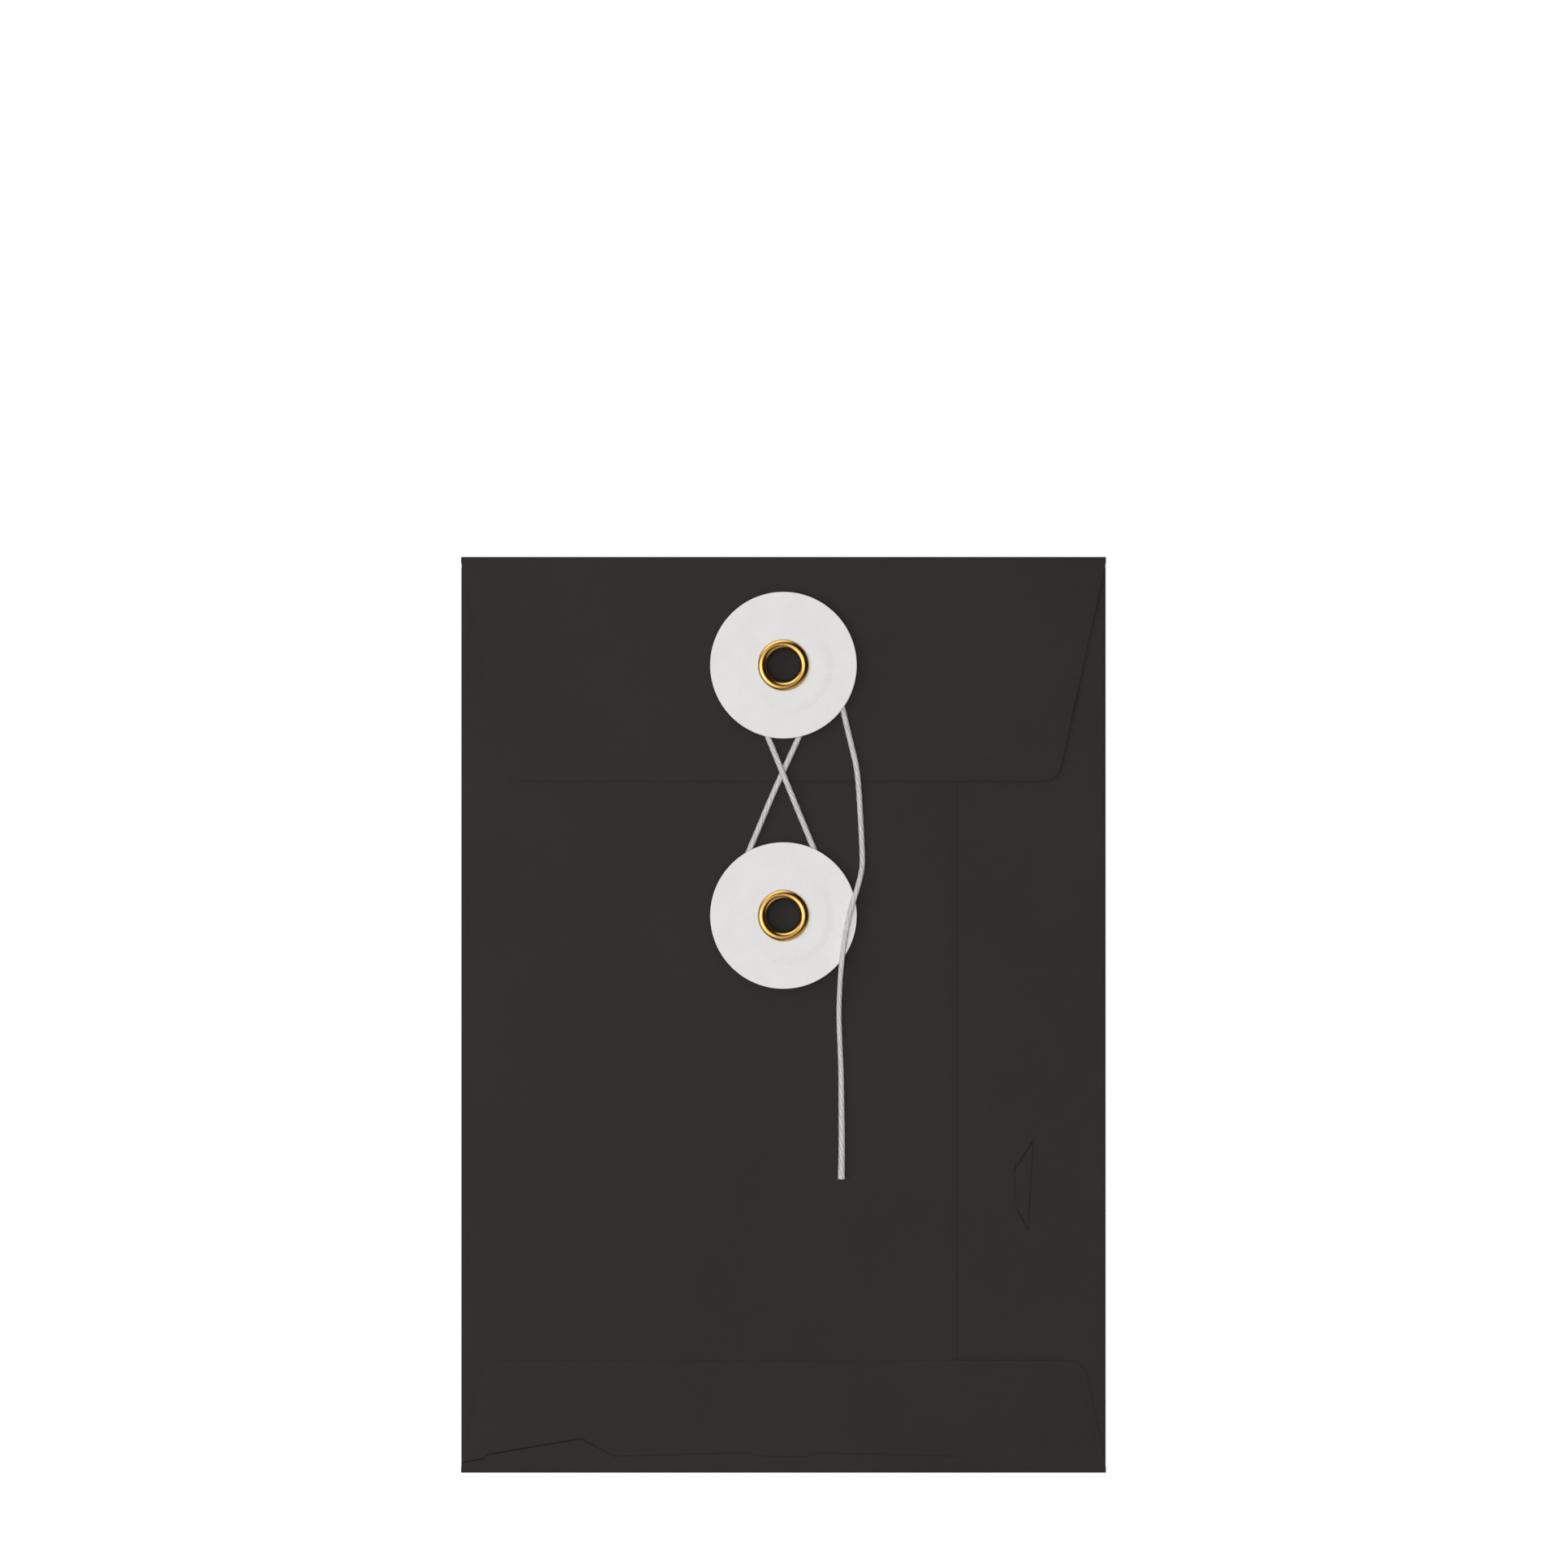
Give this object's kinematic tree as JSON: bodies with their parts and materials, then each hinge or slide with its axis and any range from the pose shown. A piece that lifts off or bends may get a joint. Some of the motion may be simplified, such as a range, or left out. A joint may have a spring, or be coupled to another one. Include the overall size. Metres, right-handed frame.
{
  "type": "string tie envelope",
  "caption": "Flat paper envelope with a folding flap, closed by a string wound in a figure of eight between card washers riveted on with brass eyelets.",
  "frame": {"origin": "centre of the front panel's outer face, which lies on the table", "axes": "+X to the right as the string side is seen, +Y towards the top fold, +Z out of the string side"},
  "size_m": [0.114, 0.162, 0.0048],
  "materials": {
    "paper": "matte",
    "gum": "matte",
    "washer_card": "matte",
    "brass": "polished",
    "string": "matte"
  },
  "bodies": {
    "pocket": {"front_panel": "paper", "left_back_panel": "paper", "right_side_flap": "paper", "bottom_flap": "paper", "left_crease": "paper", "right_crease": "paper", "bottom_crease": "paper", "flap_crease": "paper", "side_seam_gum": "gum", "bottom_flap_gum": "gum", "lower_eyelet": "brass"},
    "flap": {"closing_flap": "paper", "upper_eyelet": "brass", "string_winding": "string", "string_tail": "string"},
    "upper_disc": {"upper_washer": "washer_card"},
    "lower_disc": {"lower_washer": "washer_card"}
  },
  "joints": [
    {"name": "flap_fold", "type": "hinge", "parent": "pocket", "child": "flap", "pos_m": [0, 0.08, 0.001], "axis": [-1, 0, 0], "range_deg": [0, 160], "deforming": ["flap_crease", "string_winding", "string_tail"]},
    {"name": "upper_washer_turn", "type": "hinge", "parent": "flap", "child": "upper_disc", "pos_m": [0, 0.0618, 0.0036], "axis": [0, 0, 1], "continuous": true},
    {"name": "lower_washer_turn", "type": "hinge", "parent": "pocket", "child": "lower_disc", "pos_m": [0, 0.0176, 0.0033], "axis": [0, 0, 1], "continuous": true}
  ]
}
